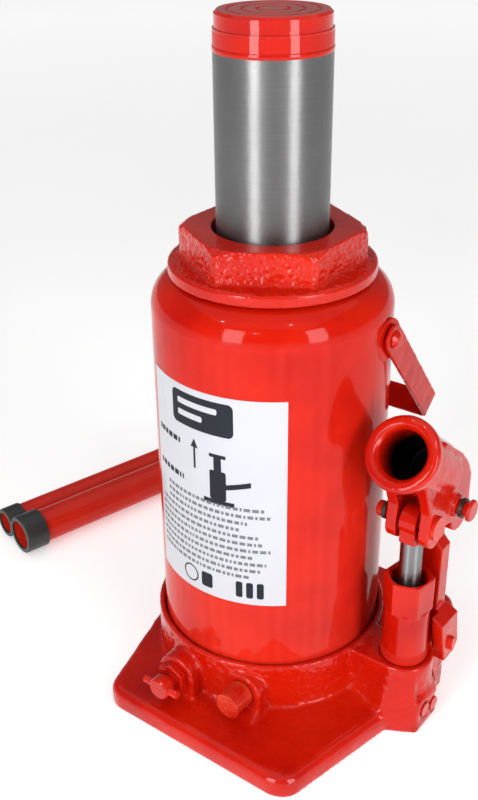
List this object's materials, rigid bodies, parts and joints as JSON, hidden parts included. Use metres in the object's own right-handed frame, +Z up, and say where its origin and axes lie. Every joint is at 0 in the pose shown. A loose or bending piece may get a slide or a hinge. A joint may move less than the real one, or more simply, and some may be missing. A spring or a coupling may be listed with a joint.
{
  "type": "hydraulic bottle jack",
  "caption": "Red hydraulic bottle jack with a round reservoir, polished ram, side pump with tilted handle socket, carrying bail and two loose handle tubes",
  "frame": {"origin": "on the floor under the axis of the reservoir tank and ram", "axes": "+Z up along the ram, +X from the tank towards the pump, -Y towards the release valve (front)"},
  "size_m": [0.3383, 0.4113, 0.368],
  "materials": {
    "red_cast": "Glossy red enamel over rough cast steel",
    "red_sheet": "Glossy red enamel over smooth steel tube and strip",
    "red_machined": "Thin red enamel over machined steel",
    "bright_steel": "Ground and polished steel",
    "polished_rod": "Hard-chromed rod, painted red on its head",
    "plain_steel": "Machined steel, oiled",
    "black_oxide": "Black oxide spring steel",
    "seal_rubber": "Black nitrile rubber",
    "copper_gasket": "Soft copper",
    "wear_plastic": "Off-white bearing plastic",
    "sleeve_plastic": "Black moulded plastic",
    "label_film": "White printed film"
  },
  "bodies": {
    "base": {"base_casting": "red_cast", "top_nut": "red_cast", "tank_tube": "red_sheet", "handle_ears": "red_sheet", "handle_rivets": "red_sheet", "pump_cylinder": "red_machined", "release_gland": "red_machined", "safety_valve_plug": "red_machined", "pressure_cylinder": "plain_steel", "safety_valve_ball": "plain_steel", "safety_valve_spring": "plain_steel", "suction_ball": "plain_steel", "delivery_ball": "plain_steel", "channel_plugs": "plain_steel", "filter_screen": "plain_steel", "tank_gasket_lower": "seal_rubber", "tank_gasket_upper": "seal_rubber", "nut_o_ring": "seal_rubber", "wiper_seal": "seal_rubber", "pump_seal": "seal_rubber", "filler_plug": "seal_rubber", "cylinder_gasket": "copper_gasket", "pump_washer": "copper_gasket", "label": "label_film"},
    "ram": {"ram": "bright_steel", "saddle": "red_machined", "ram_cup_seal": "seal_rubber", "ram_wear_ring": "wear_plastic"},
    "link": {"lever_link": "red_cast", "lug_pin": "red_machined"},
    "lever": {"handle_socket": "red_cast", "link_pin": "red_machined", "piston_pin": "red_machined", "retaining_clips": "black_oxide"},
    "plunger": {"pump_piston": "polished_rod"},
    "release_slide": {"release_ball": "plain_steel"},
    "release_screw": {"release_valve_screw": "red_machined", "release_cross_pin": "red_machined", "release_o_ring": "seal_rubber"},
    "bail": {"carry_handle": "red_sheet"},
    "tube_front": {"handle_tube_front": "red_sheet", "tube_sleeve_front": "sleeve_plastic"},
    "tube_rear": {"handle_tube_rear": "red_sheet", "tube_sleeve_rear": "sleeve_plastic"}
  },
  "joints": [
    {"name": "ram_slide", "type": "slide", "parent": "base", "child": "ram", "axis": [0, 0, 1], "range_m": [-0.083, 0.097]},
    {"name": "lever_pivot", "type": "hinge", "parent": "link", "child": "lever", "pos_m": [0.0885, 0.0215, 0.1295], "axis": [1, 0, 0], "range_deg": [-12, 28]},
    {"name": "link_pivot", "type": "hinge", "parent": "base", "child": "link", "pos_m": [0.0885, 0.0215, 0.0405], "axis": [1, 0, 0], "range_deg": [-2, 3]},
    {"name": "plunger_slide", "type": "slide", "parent": "base", "child": "plunger", "axis": [0, 0, 1], "range_m": [-0.0105, 0.0045]},
    {"name": "release_seat_lift", "type": "slide", "parent": "base", "child": "release_slide", "axis": [0, -1, 0], "range_m": [0, 0.0015]},
    {"name": "release_turn", "type": "hinge", "parent": "release_slide", "child": "release_screw", "pos_m": [-0.012, -0.075, 0.024], "axis": [0, -1, 0], "range_deg": [0, 360]},
    {"name": "bail_swing", "type": "hinge", "parent": "base", "child": "bail", "pos_m": [0, 0.013, 0.217], "axis": [1, 0, 0], "range_deg": [0, 118]},
    {"name": "tube_front_lift", "type": "slide", "parent": "base", "child": "tube_front", "axis": [0, 0, 1], "range_m": [0, 0.25]},
    {"name": "tube_rear_lift", "type": "slide", "parent": "base", "child": "tube_rear", "axis": [0, 0, 1], "range_m": [0, 0.25]}
  ],
  "couplings": [
    {"joint": "plunger_slide", "follows": "lever_pivot", "m_per_rad": -0.02},
    {"joint": "link_pivot", "follows": "lever_pivot", "ratio": 0.07},
    {"joint": "release_seat_lift", "follows": "release_turn", "m_per_rad": 0.00023873}
  ]
}
